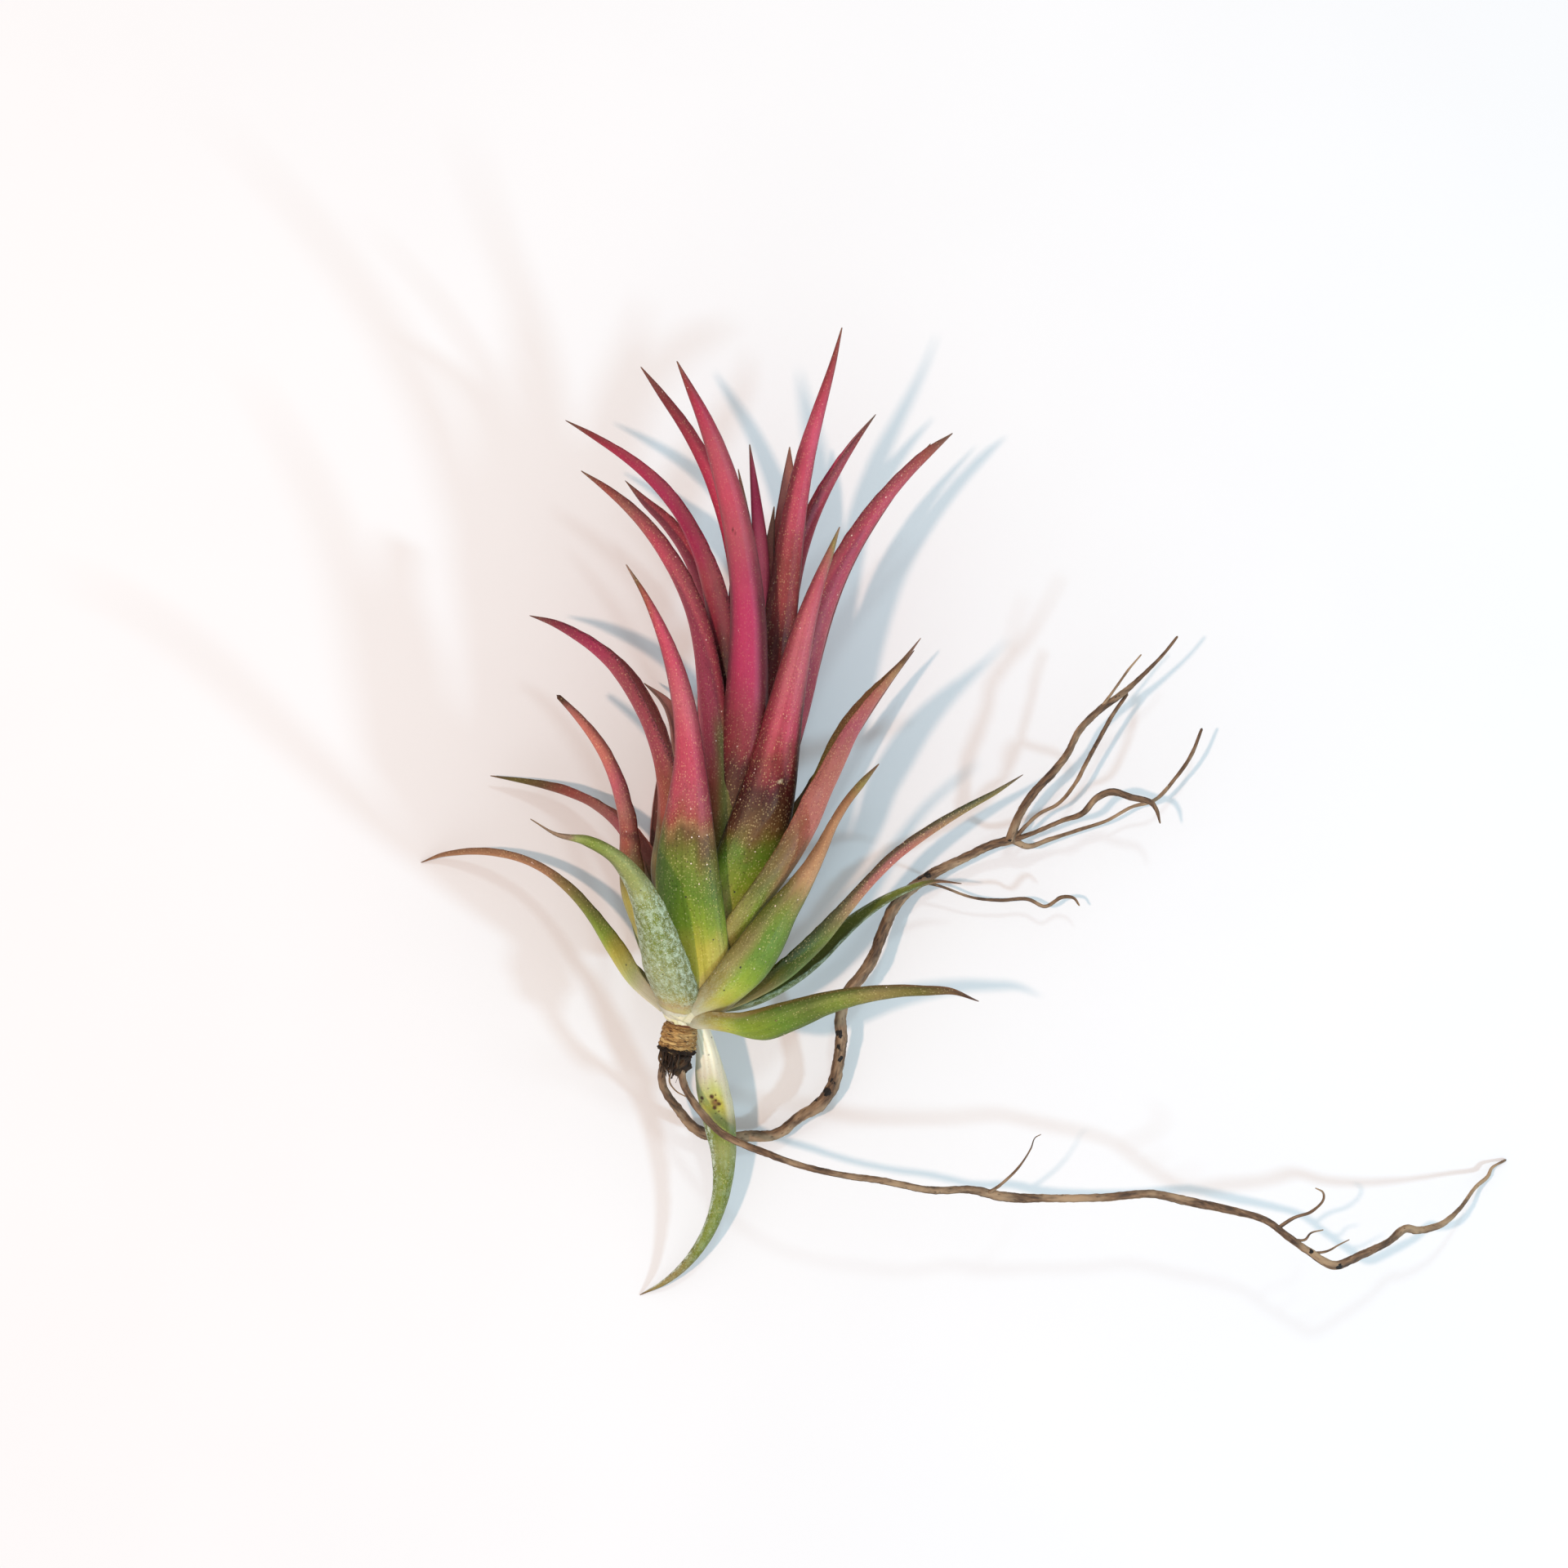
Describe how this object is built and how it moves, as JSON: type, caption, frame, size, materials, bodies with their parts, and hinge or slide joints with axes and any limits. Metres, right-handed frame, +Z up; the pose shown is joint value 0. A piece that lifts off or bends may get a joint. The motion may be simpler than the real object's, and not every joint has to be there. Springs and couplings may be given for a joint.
{
  "type": "red-blushed tufted air plant",
  "caption": "Bare-rooted tufted air plant lying on its side: a rosette of channelled, tapering leaves on a short ringed stem stump with trailing wiry roots.",
  "frame": {"origin": "centre of the bounding box, on the surface that the plant lies on", "axes": "+X to the right in the top view, along the long root; +Y from the stump to the leaf tips; +Z up from the surface"},
  "size_m": [0.1328, 0.114, 0.0405],
  "materials": {
    "leaf_red": "frosted with tiny pale scales",
    "leaf_pink": "frosted with tiny pale scales",
    "leaf_green": "frosted with tiny pale scales",
    "leaf_under": "frosted with tiny pale scales",
    "stem": "smooth, matte",
    "stump": "ringed, rough",
    "strands": "dry fibrous",
    "root": "rough bark"
  },
  "bodies": {
    "root": {"leaf_01": "leaf_green", "leaf_02": "leaf_green", "leaf_03": "leaf_green", "leaf_04": "leaf_pink", "leaf_05": "leaf_pink", "leaf_06": "leaf_pink", "leaf_07": "leaf_green", "leaf_08": "leaf_pink", "leaf_09": "leaf_green", "leaf_10": "leaf_green", "leaf_11": "leaf_green", "leaf_12": "leaf_red", "leaf_13": "leaf_pink", "leaf_14": "leaf_red", "leaf_15": "leaf_pink", "leaf_16": "leaf_red", "leaf_17": "leaf_pink", "leaf_18": "leaf_red", "leaf_19": "leaf_red", "leaf_20": "leaf_pink", "leaf_21": "leaf_red", "leaf_22": "leaf_red", "leaf_23": "leaf_red", "leaf_24": "leaf_pink", "leaf_25": "leaf_red", "leaf_26": "leaf_red", "leaf_27": "leaf_red", "leaf_28": "leaf_red", "leaf_29": "leaf_under", "leaf_30": "leaf_under", "leaf_31": "leaf_under", "leaf_32": "leaf_under", "leaf_33": "leaf_under", "leaf_34": "leaf_under", "leaf_35": "leaf_under", "leaf_36": "leaf_under", "leaf_37": "leaf_under", "stem": "stem", "stump": "stump", "stump_strands": "strands", "root_1": "root", "root_2": "root", "root_3": "root"}
  },
  "joints": []
}
